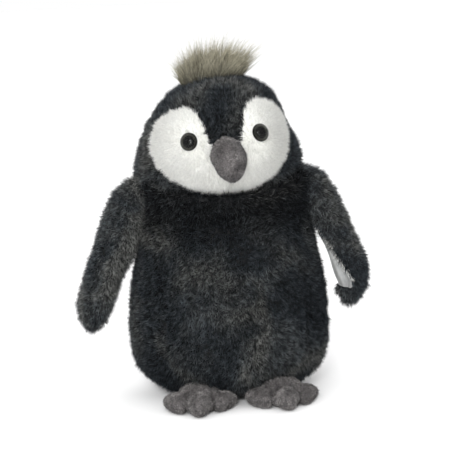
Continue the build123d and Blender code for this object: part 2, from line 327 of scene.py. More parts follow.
def make_materials():
    for key, settings in CLOTHS.items():
        MATERIALS[key] = cloth_material(*settings)
    slate = [(0.35, (0.0130, 0.0155, 0.0180)), (0.46, (0.0220, 0.0255, 0.0285)),
             (0.55, (0.034, 0.037, 0.0385)), (0.66, (0.064, 0.065, 0.062))]
    MATERIALS["plush"] = pile_material("plush_pile", slate, 24.0, 0.05, 1.9, 0.03, (0.8, 0.88, 1.0),
                                       variety=0.95, fine=0.6)
    # The wing pile takes the plush's colours shifted paler: painted sheen.
    sheen_slate = [(position - 0.08, colour) for position, colour in slate]
    MATERIALS["plush_wing"] = pile_material("plush_wing_pile", sheen_slate, 30.0, 0.05, 1.9, 0.03,
                                            (0.8, 0.88, 1.0), variety=0.95, fine=0.6)
    white = [(0.3, (0.95, 0.95, 0.905)), (0.7, (0.985, 0.985, 0.95))]
    MATERIALS["white"] = pile_material("white_pile", white, 60.0, 0.82, 1.02, 0.2, (1.0, 1.0, 1.0),
                                       variety=0.12, fine=0.08)
    grey = [(0.36, (0.060, 0.056, 0.054)), (0.64, (0.235, 0.224, 0.218))]
    MATERIALS["short"] = pile_material("short_pile", grey, 80.0, 0.25, 1.4, 0.2, (0.95, 0.93, 1.0),
                                       variety=0.8, fine=0.42)
    khaki = [(0.3, (0.23, 0.215, 0.155)), (0.7, (0.36, 0.34, 0.26))]
    MATERIALS["crest"] = pile_material("crest_pile", khaki, 120.0, 0.25, 1.45, 0.1, (1.0, 0.98, 0.9), 0.7,
                                       variety=0.6, fine=0.3)


def eye_materials(name, centre, axis):
    """A smoky clear dome over a black pupil in a dark olive ring, painted round the eye's own axis."""
    lens, tree, shader = node_material("eye_" + name + "_acrylic")
    haze = ramp(tree, noise(tree, 900.0, 2.0), [(0.3, (0.32, 0.33, 0.31)), (0.7, (0.37, 0.38, 0.36))])
    tree.links.new(haze, shader.inputs["Base Color"])
    shader.inputs["Roughness"].default_value = 0.04
    shader.inputs["IOR"].default_value = 1.26
    shader.inputs["Transmission Weight"].default_value = 1.0
    disc, tree, shader = node_material("eye_" + name + "_iris")
    place = tree.nodes.new("ShaderNodeTexCoord")
    offset = vector_math(tree, "SUBTRACT", place.outputs["Object"], centre)
    across = vector_math(tree, "CROSS_PRODUCT", offset, axis)
    radius = vector_math(tree, "LENGTH", across)
    share = tree.nodes.new("ShaderNodeMath")
    share.operation = "DIVIDE"
    share.inputs[1].default_value = EYE_RADIUS
    tree.links.new(radius, share.inputs[0])
    ring = ramp(tree, share.outputs["Value"], [
        (0.0, (0.001, 0.001, 0.001)), (0.58, (0.001, 0.001, 0.001)),
        (0.67, (0.24, 0.235, 0.19)), (0.84, (0.17, 0.168, 0.14)), (0.95, (0.02, 0.02, 0.018)),
    ])
    tree.links.new(ring, shader.inputs["Base Color"])
    shader.inputs["Roughness"].default_value = 0.7
    shader.inputs["Specular IOR Level"].default_value = 0.0
    return lens, disc


# ---- pile
def sample_surface(piece, per_mm2, seed, keep=None):
    """Even random places on a skin, and the way out of it at each."""
    source = np.random.default_rng(seed)
    verts, normals, triangles = mesh_arrays(piece)
    a, b, c = (verts[triangles[:, k]] for k in range(3))
    areas = 0.5 * np.linalg.norm(np.cross(b - a, c - a), axis=1)
    total = int(areas.sum() / MM ** 2 * per_mm2)
    chosen = np.searchsorted(np.cumsum(areas), source.uniform(0.0, areas.sum(), total))
    chosen = np.clip(chosen, 0, len(triangles) - 1)
    u, v = source.uniform(size=(2, total))
    flip = u + v > 1.0
    u[flip], v[flip] = 1.0 - u[flip], 1.0 - v[flip]
    weights = np.stack([1.0 - u - v, u, v], axis=1)
    corner = triangles[chosen]
    points = np.einsum("nk,nkd->nd", weights, verts[corner])
    outward = unit(np.einsum("nk,nkd->nd", weights, normals[corner]))
    if keep is not None:
        kept = keep(points)
        points, outward = points[kept], outward[kept]
    return points, outward


def face_centres(piece):
    centres = np.zeros(len(piece.data.polygons) * 3)
    piece.data.polygons.foreach_get("center", centres)
    return centres.reshape(-1, 3)


def tangent(vectors, normals):
    """The part of each vector that lies along the cloth."""
    along = vectors - normals * np.sum(vectors * normals, axis=1, keepdims=True)
    return unit(along)


def hair_mesh(name, roots, directions, curl, widths, segments, tints):
    """Closed tapered three-sided hairs. curl is how far the tip bends away from straight."""
    count = len(roots)
    side = unit(np.cross(directions, UP + 0.137))
    other = unit(np.cross(directions, side))
    rings = []
    along = []
    for step in range(segments):
        share = step / segments
        middle = roots + directions * share + curl * share ** 2
        size = (0.5 * widths * (1.0 - share ** 1.6))[:, None]
        for corner in range(3):
            angle = 2.0 * math.pi * corner / 3.0
            rings.append(middle + size * (side * math.cos(angle) + other * math.sin(angle)))
            along.append(share)
    rings.append(roots + directions + curl)
    along.append(1.0)
    per_hair = len(rings)
    verts = np.stack(rings, axis=1).reshape(-1, 3)
    verts[:, 2] = np.maximum(verts[:, 2], 0.2 * MM)
    base = np.arange(count)[:, None] * per_hair
    triangles = [base + np.array([0, 2, 1])]
    quads = []
    for step in range(segments - 1):
        low = 3 * step
        for corner in range(3):
            after = (corner + 1) % 3
            quads.append(base + np.array([low + corner, low + after, low + 3 + after, low + 3 + corner]))
    low = 3 * (segments - 1)
    for corner in range(3):
        triangles.append(base + np.array([low + corner, low + (corner + 1) % 3, low + 3]))
    blocks = [np.concatenate(triangles)] + ([np.concatenate(quads)] if quads else [])
    along_all = np.tile(along, count)
    tint_all = np.repeat(tints, per_hair)
    piece = new_object(name, verts, blocks, {"along": along_all, "tint": tint_all})
    bake_cells(piece, count, per_hair, along_all)
    return piece


def bake_cells(piece, count, per_hair, along):
    """Give each hair its own small cell of a UV map named OFBake."""
    side = math.ceil(math.sqrt(count))
    index = np.repeat(np.arange(count), per_hair)
    around = np.tile(np.arange(per_hair) % 3 / 3.0, count)
    u = (index % side + 0.2 + 0.5 * around) / side
    v = (index // side + 0.15 + 0.7 * along) / side
    layer = piece.data.uv_layers.new(name="OFBake")
    loops = np.zeros(len(piece.data.loops), np.int32)
    piece.data.loops.foreach_get("vertex_index", loops)
    layer.data.foreach_set("uv", np.stack([u[loops], v[loops]], axis=1).astype(np.float32).ravel())


def grow(name, skin, material, per_mm2, length, width, comb, seed, stand=0.6, stray=0.3,
         clump=5.0 * MM, tuft=0.62, keep=None, vary=0.25, shorten=None, tone=None):
    """Grow pile on a skin. comb gives the way that the pile is brushed at each place."""
    source = np.random.default_rng(seed)
    roots, normals = sample_surface(skin, per_mm2, seed + 1, keep)
    brushed = tangent(comb(roots, normals), normals)
    tufts = wave_vectors(roots, clump, seed + 2)
    strays = source.normal(size=roots.shape)
    lean = brushed + tuft * tufts + stray * strays
    directions = unit(normals * stand + tangent(lean, normals) * (1.0 - stand) + 0.5 * stray * strays)
    outward = np.sum(directions * normals, axis=1, keepdims=True)
    directions = unit(directions + normals * np.maximum(0.2 - outward, 0.0))
    lengths = length * (1.0 + vary * source.uniform(-1.0, 1.0, len(roots)))
    lengths *= 1.0 + 0.16 * waves(roots, 1.4 * clump, seed + 3)
    if shorten is not None:
        lengths *= shorten(roots)
    widths = width * source.uniform(0.75, 1.25, len(roots))
    roots = roots - normals * 0.3 * MM
    # Hair tints: random tone by hair and by clump, spread wide so that the darkest also paint shade between
    # tufts; tone, where given, shifts the tints by place, with painted shade and sheen among its marks.
    tints = 0.5 + 0.14 * source.normal(size=len(roots)) + 0.12 * waves(roots, 0.8 * clump, seed + 4)
    tints = tints + 0.34 * waves(roots, 0.25 * clump, seed + 6, 12)
    if tone is not None:
        tints = tints + tone(roots)
    tints = np.clip(tints, 0.0, 1.0)
    piece = hair_mesh(name, roots, directions * lengths[:, None], np.zeros_like(roots), widths, 1, tints)
    piece.data.materials.append(material)
    return piece


# ---- stuffing pressure
SWELL_FRAMES = 20


def swell(skin, cell, pressure, cap, held):
    """Blow a stuffed skin up between its held seams by cloth simulation, and keep the shape."""
    verts, _, _ = mesh_arrays(skin)
    form = add_object(skin.name + "_form", skin.data.copy())
    remesh = form.modifiers.new("even", "REMESH")
    remesh.mode = "VOXEL"
    remesh.voxel_size = cell
    flatten_modifiers(form)
    before, _, _ = mesh_arrays(form)
    grip = form.vertex_groups.new(name="held")
    for index, weight in enumerate(held(before)):
        if weight > 0.02:
            grip.add([index], float(weight), "REPLACE")
    cloth = form.modifiers.new("cloth", "CLOTH")
    cloth.settings.quality = 5
    cloth.settings.mass = 0.02
    cloth.settings.use_pressure = True
    cloth.settings.uniform_pressure_force = pressure
    cloth.settings.vertex_group_mass = "held"
    cloth.settings.tension_stiffness = 6
    cloth.settings.compression_stiffness = 6
    cloth.settings.shear_stiffness = 2
    cloth.settings.bending_stiffness = 0.4
    cloth.settings.effector_weights.gravity = 0
    cloth.collision_settings.use_collision = False
    cloth.point_cache.frame_start = 1
    cloth.point_cache.frame_end = SWELL_FRAMES
    for step in range(1, SWELL_FRAMES + 1):
        bpy.context.scene.frame_set(step)
    flatten_modifiers(form)
    after, _, _ = mesh_arrays(form)
    moved = after - before
    reach = np.linalg.norm(moved, axis=1, keepdims=True)
    moved *= cap * np.tanh(reach / cap) / np.maximum(reach, 1e-9)
    tree = kdtree.KDTree(len(before))
    for index, place in enumerate(before):
        tree.insert(place, index)
    tree.balance()
    shift = np.zeros_like(verts)
    for index, place in enumerate(verts):
        near = tree.find_n(place, 6)
        weights = np.array([1.0 / (gap + 0.2 * cell) ** 2 for _, _, gap in near])
        shift[index] = weights @ moved[[found for _, found, _ in near]] / weights.sum()
    set_places(skin, verts + shift)
    bpy.data.objects.remove(form)
    bpy.context.scene.frame_set(1)


def turned(outline, levels, around, depth=1.0):
    """Places round a turned form, drawn in from its outline by as much as the pile stands off."""
    outline = np.array(outline)
    share = np.linspace(0.0, 1.0, len(outline))
    curve = smooth_through(share, outline, np.linspace(0.0, 1.0, levels)) * MM
    height, radius = curve[:, 0], curve[:, 1]
    rise, run = np.gradient(height), np.gradient(radius)
    slope = np.hypot(rise, run)
    radius = radius - PILE_STAND * rise / slope
    height = height + PILE_STAND * run / slope
    angle = np.linspace(0.0, 2.0 * math.pi, around, endpoint=False)
    rings = np.zeros((levels, around, 3))
    rings[:, :, 0] = radius[:, None] * np.sin(angle)
    rings[:, :, 1] = -radius[:, None] * np.cos(angle) * depth
    rings[:, :, 2] = height[:, None]
    return rings.reshape(-1, 3)


# ---- torso
TORSO_OUTLINE = [                # height, half width over the pile, both in millimetres
    (0.6, 32.0), (2.6, 42.0), (7.5, 52.6), (14.5, 60.0), (25.0, 66.0), (40.0, 68.2),
    (58.0, 67.9), (75.0, 66.6), (88.0, 64.5), (98.0, 62.2), (110.0, 60.8), (124.0, 59.4),
    (136.0, 59.0), (147.0, 59.2), (153.0, 57.4), (156.0, 52.0),
]
TORSO_DEPTH = 0.88
BACK_DEPTH = 0.0605              # how far back the cloth comes at the seam with the label
FRONT_SEAM_ANGLE = math.radians(51.0)
BASE_EDGE = 6 * MM               # up to here the pile belongs to the seat
NECK_CUP = 50.5 * MM             # radius of the hollow that the head sits in


def torso_skin():
    levels = 96
    around = 144
    points = turned(TORSO_OUTLINE, levels, around, TORSO_DEPTH)
    points[:, 2] = np.maximum(points[:, 2], 0.5 * MM)
    collar = smoothstep(points[:, 2], 118 * MM, 156 * MM)
    points[:, 2] += collar * np.where(points[:, 1] < 0, 0.20, 0.10) * points[:, 1]
    outward = unit(points * np.array([1.0, 1.0 / TORSO_DEPTH ** 2, 0.0]) + 1e-9)
    turn = np.arctan2(points[:, 0], -points[:, 1])
    beside_seam = np.abs(np.abs(turn) - FRONT_SEAM_ANGLE * 0.98) * 60 * MM
    seam = np.exp(-(beside_seam / (2.6 * MM)) ** 2)
    seam *= smoothstep(points[:, 2], 14 * MM, 30 * MM) * (1 - smoothstep(points[:, 2], 104 * MM, 120 * MM))
    push = -3.0 * MM * seam
    push += 1.0 * MM * waves(points, 55 * MM, 11) + 0.5 * MM * waves(points, 22 * MM, 12)
    for dent, place in ((3.2, (47, -34, 126)), (2.6, (-44, -38, 128)), (2.2, (44, -44, 84))):
        push -= dent * MM * bump_at(points, np.array(place) * MM, 9 * MM)
    fold = np.abs(points[:, 2] - 126 * MM - 0.1 * points[:, 0])
    push -= 2.4 * MM * np.exp(-(fold / (5 * MM)) ** 2) * smoothstep(-points[:, 1], 25 * MM, 42 * MM)
    push *= smoothstep(points[:, 2], 4 * MM, 16 * MM)
    points = points + outward * push[:, None]
    head_gap = np.linalg.norm(points - HEAD_CENTRE, axis=1)
    inside = points[:, 2] > 110 * MM
    short = np.maximum(NECK_CUP - head_gap, 0.0) * inside
    points = points + outward * short[:, None]
    rings = points.reshape(levels, around, 3)
    bottom = (0.0, 0.0, 0.5 * MM)
    cup = []
    rim = rings[-1]
    for share in (0.75, 0.5, 0.25):
        flat = rim * np.array([share, share, 1.0])
        reach = np.hypot(flat[:, 0], flat[:, 1])
        flat[:, 2] = HEAD_CENTRE[2] - np.sqrt(np.maximum(NECK_CUP ** 2 - reach ** 2, 0.0))
        cup.append(flat)
    rings = np.concatenate([rings, np.stack(cup)])
    deepest = (0.0, 0.0, HEAD_CENTRE[2] - NECK_CUP)
    return closed_rings("torso_backing", rings, bottom, deepest)


def torso_held(points):
    """The seams of the torso, its seat and its collar."""
    turn = np.abs(np.arctan2(points[:, 0], -points[:, 1] / TORSO_DEPTH))
    seam = np.minimum(np.abs(turn - FRONT_SEAM_ANGLE), np.abs(turn - math.pi)) * BODY_HALF_WIDTH
    held = 1.0 - smoothstep(seam, 3 * MM, 7 * MM)
    held = np.maximum(held, 1.0 - smoothstep(points[:, 2], 8 * MM, 18 * MM))
    held = np.maximum(held, smoothstep(points[:, 2], 112 * MM, 138 * MM))
    return held


def on_torso_outside(points):
    """Leave the hidden hollow under the head bare."""
    from_head = np.linalg.norm(points - HEAD_CENTRE, axis=1)
    hidden = (points[:, 2] > 100 * MM) & (from_head < NECK_CUP + 0.5 * MM)
    return ~hidden


def torso_sector(low, high):
    """Which places on the torso lie between two angles from straight ahead."""
    def keep(points):
        turn = np.degrees(np.arctan2(points[:, 0], -points[:, 1] / TORSO_DEPTH))
        above = points[:, 2] > BASE_EDGE
        return (turn >= low) & (turn < high) & above & on_torso_outside(points)
    return keep


def torso_base(points):
    return points[:, 2] <= BASE_EDGE


def comb_down(points, normals):
    swirl = wave_vectors(points, 52 * MM, 77)
    patchy = wave_vectors(points, 17 * MM, 78)
    return -UP + 0.75 * swirl + 0.55 * patchy


def torso_shade_and_patches(points):
    """Painted shade darkens the pile under the chin and round the sides; the pile is also paler in patches on
    the belly.
    """
    turn = np.abs(np.arctan2(points[:, 0], -points[:, 1] / TORSO_DEPTH))
    ahead = turn < 1.6
    # painted shade under the chin
    tone = -0.50 * smoothstep(points[:, 2], 104 * MM, 134 * MM) * ahead
    # painted shade round the sides
    tone -= 0.06 * smoothstep(turn, FRONT_SEAM_ANGLE - 0.10, FRONT_SEAM_ANGLE + 0.12)
    for centre, reach in (((-22, -56, 62), 17), ((34, -48, 42), 17), ((2, -58, 26), 13), ((20, -57, 92), 11)):
        tone += 0.42 * bump_at(points, np.array(centre) * MM, reach * MM)
    return tone


TORSO_PANELS = {
    "torso_front_pile": ((-51.0, 51.0), ["torso_front_panel", "torso_fill"]),
    "torso_left_pile": ((51.0, 118.0), ["torso_back_left_panel"]),
    "torso_back_left_pile": ((118.0, 180.1), ["torso_back_left_panel"]),
    "torso_right_pile": ((-118.0, -51.0), ["torso_back_right_panel"]),
    "torso_back_right_pile": ((-180.1, -118.0), ["torso_back_right_panel"]),
}


def make_torso():
    skin = torso_skin()
    swell(skin, 5 * MM, 500.0, 4 * MM, torso_held)
    skin.data.materials.append(MATERIALS["plush_back"])
    belongs(skin, "torso", "plush", "torso_front_panel", "torso_back_left_panel",
            "torso_back_right_panel", "torso_base_panel", "torso_fill")
    seed = 100
    for name, (sector, nodes) in TORSO_PANELS.items():
        pile = grow(name, skin, MATERIALS["plush"], 2.0, PILE, 0.64 * MM, comb_down, seed,
                    keep=torso_sector(*sector), tone=torso_shade_and_patches)
        belongs(pile, "torso", "plush", *nodes)
        seed += 10
    pile = grow("torso_base_pile", skin, MATERIALS["plush"], 1.6, 3.0 * MM, 0.6 * MM,
                lambda points, normals: points * np.array([1.0, 1.0, 0.0]), seed,
                stand=0.12, stray=0.1, keep=torso_base)
    belongs(pile, "torso", "plush", "torso_base_panel")


# ---- head
HEAD_OUTLINE = [                 # height from the head's centre, half width over the pile
    (-38.0, 29.0), (-30.0, 40.5), (-22.0, 51.0), (-14.0, 57.0), (-7.0, 57.4), (0.0, 55.3),
    (9.0, 52.8), (18.0, 50.0), (27.0, 46.0), (34.5, 40.4), (41.0, 34.0), (46.8, 25.0),
    (50.0, 15.5), (51.4, 5.0),
]
EYE_RADIUS = 6.0 * MM


def head_matrix():
    """From the face's own frame, centred in the head, to the row frame."""
    return Matrix.Translation(Vector(HEAD_CENTRE)) @ Matrix.Rotation(-HEAD_ROLL, 4, "Y")


def to_face(points):
    """Row-frame points in the face's own frame, centred in the head."""
    back = np.array(head_matrix().inverted())
    return points @ back[:3, :3].T + back[:3, 3]


def from_face(points):
    there = np.array(head_matrix())
    return points @ there[:3, :3].T + there[:3, 3]


def face_eye(side):
    """Centre of an eye's dome, read from the frame, in the face's own frame."""
    low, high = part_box("eye_" + side + "_lens")
    return to_face(np.array([(low + high) / 2]))[0]


def cheek_shift(face):
    """Both sides of the stuffed head sit a little towards its own right, the cheeks most."""
    side = smoothstep(np.abs(face[:, 0]), 27 * MM, 48 * MM)
    cheek = bump_at(face[:, 2:3], (-12 * MM,), 14 * MM)
    return (2.0 + 1.2 * cheek) * MM * side


def head_skin():
    levels = 90
    around = 144
    points = turned(HEAD_OUTLINE, levels, around)
    front = smoothstep(-points[:, 1], 0.0, 40 * MM)
    ball = unit(points) * 49.6 * MM
    flatter = front * smoothstep(points[:, 2], -45 * MM, -8 * MM)
    below = front * (1 - smoothstep(points[:, 2], -30 * MM, -4 * MM))
    blend = np.clip(np.maximum(flatter, below), 0, 1)[:, None] * 0.85
    points = points * (1 - blend) + ball * blend
    outward = unit(points)
    push = 0.7 * MM * waves(points, 45 * MM, 21)
    for side in SIDES:
        push -= 2.6 * MM * bump_at(points, face_eye(side) * 0.93, 9 * MM)
    centre_seam = np.exp(-(points[:, 0] / (1.6 * MM)) ** 2) * (points[:, 1] < 0)
    push -= 1.0 * MM * centre_seam * (points[:, 2] < -12 * MM)
    points = points + outward * push[:, None]
    points[:, 0] -= cheek_shift(points)
    points = from_face(points)
    rings = points.reshape(levels, around, 3)
    bottom = from_face(np.array([(0.0, 0.0, -36 * MM)]))[0]
    top = from_face(np.array([(0.0, 0.0, 50 * MM)]))[0]
    return closed_rings("head_backing", rings, bottom, top)


PATCH_OUTLINE = [                # one lobe of the pale face to the tips of its pile: across, up
    (0.0, -24.2), (15.0, -21.8), (27.0, -16.5), (36.0, -10.0), (42.6, -2.0), (45.6, 7.5),
    (44.8, 16.8), (40.0, 25.5), (31.5, 31.4), (23.5, 33.2), (18.0, 30.8), (14.6, 25.6),
    (13.0, 18.0), (11.5, 11.5), (8.5, 6.0), (0.0, 2.0),
]


def patch_depth(points):
    """How far inside the pale face's edge a place is, in metres; negative is outside."""
    face = to_face(points)
    across = np.abs(face[:, 0] + cheek_shift(face))
    place = np.stack([across, face[:, 2]], axis=1)
    corners = np.array(PATCH_OUTLINE) * MM
    after = np.roll(corners, -1, axis=0)
    nearest = np.full(len(points), 1.0)
    crossings = np.zeros(len(points), int)
    for one, two in zip(corners, after):
        edge = two - one
        if one[0] > 0 or two[0] > 0:
            share = np.clip((place - one) @ edge / (edge @ edge), 0.0, 1.0)
            nearest = np.minimum(nearest, np.linalg.norm(place - one - share[:, None] * edge, axis=1))
        if one[1] != two[1]:
            spans = (place[:, 1] >= min(one[1], two[1])) & (place[:, 1] < max(one[1], two[1]))
            level = one[0] + (place[:, 1] - one[1]) * edge[0] / edge[1]
            crossings += spans & (level > place[:, 0])
    inside = (crossings % 2 == 1) & (face[:, 1] < 0)
    return np.where(inside, nearest, -nearest)


def beside_eyes(points, room):
    face = to_face(points)
    clear = np.ones(len(points), bool)
    for side in SIDES:
        clear &= np.linalg.norm(face - face_eye(side), axis=1) > room
    return clear


def under_beak(points):
    face = to_face(points)
    return (np.hypot(face[:, 0], face[:, 2] - 1.0 * MM) < 9.5 * MM) & (face[:, 1] < 0)


def comb_head(points, normals):
    """Back and down over the head, away from the beak."""
    face = to_face(points)
    away = unit(face - np.array([0.0, -60 * MM, 6 * MM]))
    swirl = 0.5 * wave_vectors(points, 45 * MM, 88) + 0.35 * wave_vectors(points, 16 * MM, 89)
    depth = patch_depth(points)
    slope = [patch_depth(points + step * MM) - depth for step in np.eye(3)]
    near = smoothstep(depth, -9.0 * MM, -2.0 * MM)[:, None]
    way = (away + swirl) * (1 - 0.8 * near) + np.array([0.0, 0.0, -0.35]) * (1 - near)
    return way - 2.2 * near * unit(np.stack(slope, axis=1) + 1e-9)


def shorter_by_patch(points):
    return 1.0 - 0.45 * smoothstep(patch_depth(points), -6.0 * MM, 0.5 * MM)


def comb_face(points, normals):
    """Pale pile lies outwards from each eye and from the beak."""
    face = to_face(points)
    side = np.sign(face[:, 0])[:, None]
    eye = np.array(face_eye("left"))
    from_eye = unit(face - eye * np.concatenate([side, np.ones_like(side), np.ones_like(side)], axis=1))
    below = smoothstep(-face[:, 2], -4 * MM, 12 * MM)[:, None]
    from_beak = unit(face - np.array([0.0, -50 * MM, 12 * MM]))
    way = from_eye + 1.4 * below * from_beak
    return from_face(way) - from_face(np.zeros((1, 3)))


def head_region(low, high):
    def keep(points):
        face = to_face(points)
        turn = np.degrees(np.arctan2(face[:, 0], -face[:, 1]))
        shown = (patch_depth(points) < 0.8 * MM) & (face[:, 2] > -36 * MM) & ~under_beak(points)
        return shown & (turn >= low) & (turn < high)
    return keep


def face_half(side):
    def keep(points):
        face = to_face(points)
        inside = (patch_depth(points) > 1.5 * MM) & (face[:, 0] * side > 0)
        return inside & beside_eyes(points, 6.2 * MM) & ~under_beak(points)
    return keep


def shorter_at_edge(points):
    return 0.65 + 0.35 * smoothstep(patch_depth(points), 1.0 * MM, 9.0 * MM)


def head_tone(points):
    """The pile is a little paler all over the head and darker on the brow between the eyes."""
    brow = bump_at(points, from_face(np.array([(0.0, -50 * MM, 14 * MM)]))[0], 16 * MM)
    return 0.06 - 0.22 * brow


def make_head():
    skin = head_skin()
    skin.data.materials.append(MATERIALS["plush_back"])
    skin.data.materials.append(MATERIALS["white_back"])
    pale = patch_depth(face_centres(skin)) > 1.0 * MM
    skin.data.polygons.foreach_set("material_index", pale.astype(np.int32))
    belongs(skin, "head", "plush", "head_gusset", "head_left_panel", "head_right_panel", "head_fill",
            "face_patch_left", "face_patch_right")
    regions = {
        "head_left_pile": ((0.0, 85.0), "head_left_panel"),
        "head_back_left_pile": ((85.0, 180.1), "head_gusset"),
        "head_right_pile": ((-85.0, 0.0), "head_right_panel"),
        "head_back_right_pile": ((-180.1, -85.0), "head_gusset"),
    }
    seed = 300
    for name, (region, node) in regions.items():
        pile = grow(name, skin, MATERIALS["plush"], 2.4, PILE, 0.58 * MM, comb_head, seed,
                    keep=head_region(*region), tone=head_tone, shorten=shorter_by_patch)
        belongs(pile, "head", "plush", node)
        seed += 10
    for side, sign in SIDES.items():
        pile = grow("face_" + side + "_pile", skin, MATERIALS["white"], 8.5, 7.4 * MM, 0.52 * MM,
                    comb_face, seed, stand=0.36, stray=0.16, clump=3.4 * MM, tuft=0.34,
                    keep=face_half(sign), vary=0.22, shorten=shorter_at_edge)
        belongs(pile, "head", "white_pile", "face_patch_" + side)
        seed += 10


# ---- eyes
def make_eyes():
    for side in SIDES:
        low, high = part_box("eye_" + side + "_lens")
        centre = (low + high) / 2
        axis = (centre - Vector(HEAD_CENTRE)).normalized()
        lens, iris = eye_materials(side, centre, axis)
        for node, material in (("lens", lens), ("post", iris), ("washer", MATERIALS["washer"])):
            piece = frame["nodes"]["eye_" + side + "_" + node]
            piece.data.materials.clear()
            piece.data.materials.append(material)


# ---- beak
BEAK_SECTIONS = [                # forwards, down, half width, half height
    (-7.0, -1.5, 10.0, 10.6), (-2.0, -1.0, 10.7, 11.2), (4.0, 0.2, 10.9, 11.3), (9.5, 2.2, 10.5, 10.6),
    (14.5, 4.7, 9.5, 9.4), (18.5, 7.1, 8.0, 7.8), (21.5, 9.0, 6.2, 6.2), (23.6, 10.4, 4.2, 4.5),
    (24.7, 11.3, 2.2, 2.4),
]


def beak_skin():
    around = 64
    table = np.array(BEAK_SECTIONS) * MM
    share = np.linspace(0.0, 1.0, len(table))
    rows = smooth_through(share, table, np.linspace(0.0, 1.0, 46))
    angle = np.linspace(0.0, 2.0 * math.pi, around, endpoint=False)
    rings = np.zeros((len(rows), around, 3))
    root = -49.5 * MM
    for index, (ahead, down, wide, tall) in enumerate(rows):
        ridge = 1.0 + 0.06 * np.exp(-((np.mod(angle + math.pi, 2 * math.pi) - math.pi) / 0.35) ** 2)
        droop = math.radians(24.0)
        across = wide * np.sin(angle) * (1.0 - 0.16 * np.maximum(np.cos(angle), 0.0))
        rise = tall * np.cos(angle) * ridge
        rings[index, :, 0] = across
        rings[index, :, 1] = root - ahead - rise * math.sin(droop)
        rings[index, :, 2] = 2.0 * MM - down + rise * math.cos(droop)
    points = rings.reshape(-1, 3)
    place = np.tile(np.degrees(angle), len(rows))
    ahead = np.repeat(rows[:, 0], around)
    mouth = np.minimum(np.abs(place - 118.0), np.abs(place - 242.0))
    push = 0.35 * MM * waves(points, 13 * MM, 41)
    push -= 1.3 * MM * np.exp(-(mouth / 8.0) ** 2) * (1 - smoothstep(ahead, 13 * MM, 20 * MM))
    points = points + unit(points - np.array([0, root - 8 * MM, 0])) * push[:, None]
    rings = from_face(points).reshape(rings.shape)
    start = rings[0].mean(0)
    end = rings[-1].mean(0) + (rings[-1].mean(0) - rings[-4].mean(0)) * 0.35
    return closed_rings("beak_backing", rings, start, end)


def make_beak():
    skin = beak_skin()
    skin.data.materials.append(MATERIALS["short_back"])
    belongs(skin, "head", "short_pile", "beak_left_panel", "beak_right_panel", "beak_fill")

    def outside_head(points):
        return np.linalg.norm(to_face(points), axis=1) > 48 * MM

    pile = grow("beak_pile", skin, MATERIALS["short"], 5.0, 1.9 * MM, 0.42 * MM,
                lambda points, normals: to_face(points) * 0 + np.array([0.0, -0.6, -1.0]), 500,
                stand=0.45, stray=0.3, clump=2.4 * MM, keep=outside_head)
    belongs(pile, "head", "short_pile", "beak_left_panel", "beak_right_panel")


# ---- crest
CREST_TOP = 257.0 * MM           # where the longest crest hairs end


def make_crest():
    source = np.random.default_rng(61)
    count = 5200
    spin = source.uniform(0.0, 2.0 * math.pi, count)
    reach = np.sqrt(source.uniform(0.0, 1.0, count))
    across = reach * np.cos(spin) * 20 * MM
    back = reach * np.sin(spin) * 11 * MM
    height = np.sqrt((50.0 * MM) ** 2 - across ** 2 - back ** 2)
    roots = from_face(np.stack([across - 1.0 * MM, back, height], axis=1))
    outward = unit(roots - HEAD_CENTRE)
    tufts = wave_vectors(roots, 7 * MM, 62)
    lean = np.stack([across * 24 + 0.06, back * 16, np.full(count, 1.0)], axis=1)
    lean = unit(lean + 0.24 * tufts + 0.15 * source.normal(size=(count, 3)))
    middle = 1.0 - 0.32 * reach ** 2
    lengths = 26.5 * MM * middle * source.uniform(0.5, 1.15, count)
    wisps = source.uniform(size=count) < 0.14
    lengths *= 1.0 + (0.30 + 9.0 * np.maximum(across, 0.0)) * wisps
    lengths = np.minimum(lengths, (CREST_TOP - roots[:, 2]) / lean[:, 2])
    directions = lean * lengths[:, None]
    sideways = np.stack([0.20 + across * 9, np.zeros(count), np.full(count, -0.08)], axis=1)
    curl = (sideways + 0.22 * source.normal(size=(count, 3))) * (0.7 * lengths)[:, None]
    curl[:, 2] = np.minimum(curl[:, 2], 0.5 * MM)
    widths = 0.30 * MM * source.uniform(0.7, 1.3, count)
    tints = np.clip(0.5 + 0.22 * source.normal(size=count) + 0.15 * waves(roots, 6 * MM, 63), 0, 1)
    pile = hair_mesh("crest_pile", roots - outward * MM, directions, curl, widths, 4, tints)
    pile.data.materials.append(MATERIALS["crest"])
    belongs(pile, "head", "crest_pile", "crest_tuft")


# ---- wings
WINGS = {                        # outwards, height, half width seen from ahead, half depth
    "left": [
        (50.0, 150.0, 6.0, 8.0), (57.0, 143.0, 12.0, 13.0), (63.5, 132.0, 14.5, 15.5),
        (69.5, 119.0, 14.0, 16.5), (75.0, 106.0, 13.6, 17.0), (79.6, 94.0, 14.2, 17.0),
        (83.2, 82.0, 14.6, 16.5), (84.8, 72.0, 13.2, 14.5), (83.6, 64.0, 10.6, 11.5),
        (82.0, 58.5, 6.0, 7.0),
    ],
    "right": [
        (50.0, 150.0, 6.0, 8.0), (57.5, 143.0, 12.5, 13.0), (65.5, 131.0, 16.0, 15.5),
        (71.0, 119.0, 16.4, 16.5), (76.3, 106.0, 15.8, 17.0), (81.9, 93.0, 14.0, 17.0),
        (87.0, 80.0, 13.4, 16.5), (91.4, 68.5, 12.9, 15.0), (94.2, 59.0, 10.6, 12.0),
        (95.4, 52.5, 6.0, 7.5),
    ],
}


def wing_line(name, levels):
    """Even rows down a wing: outwards, height, half width, half depth; and the line's direction."""
    table = np.array(WINGS[name]) * MM
    gaps = np.hypot(np.diff(table[:, 0]), np.diff(table[:, 1]))
    distance = np.concatenate([[0.0], np.cumsum(gaps)])
    rows = smooth_through(distance, table, np.linspace(0.0, distance[-1], levels))
    return rows, unit(np.stack([np.gradient(rows[:, 0]), np.gradient(rows[:, 1])], axis=1))


def wing_lead(share):
    """How far ahead of the shoulders a wing's middle is."""
    return (2.0 + 6.0 * share) * MM


def crease_angle(share):
    """The angle round the right wing at which its long crease runs."""
    return 62.0 + 14.0 * share


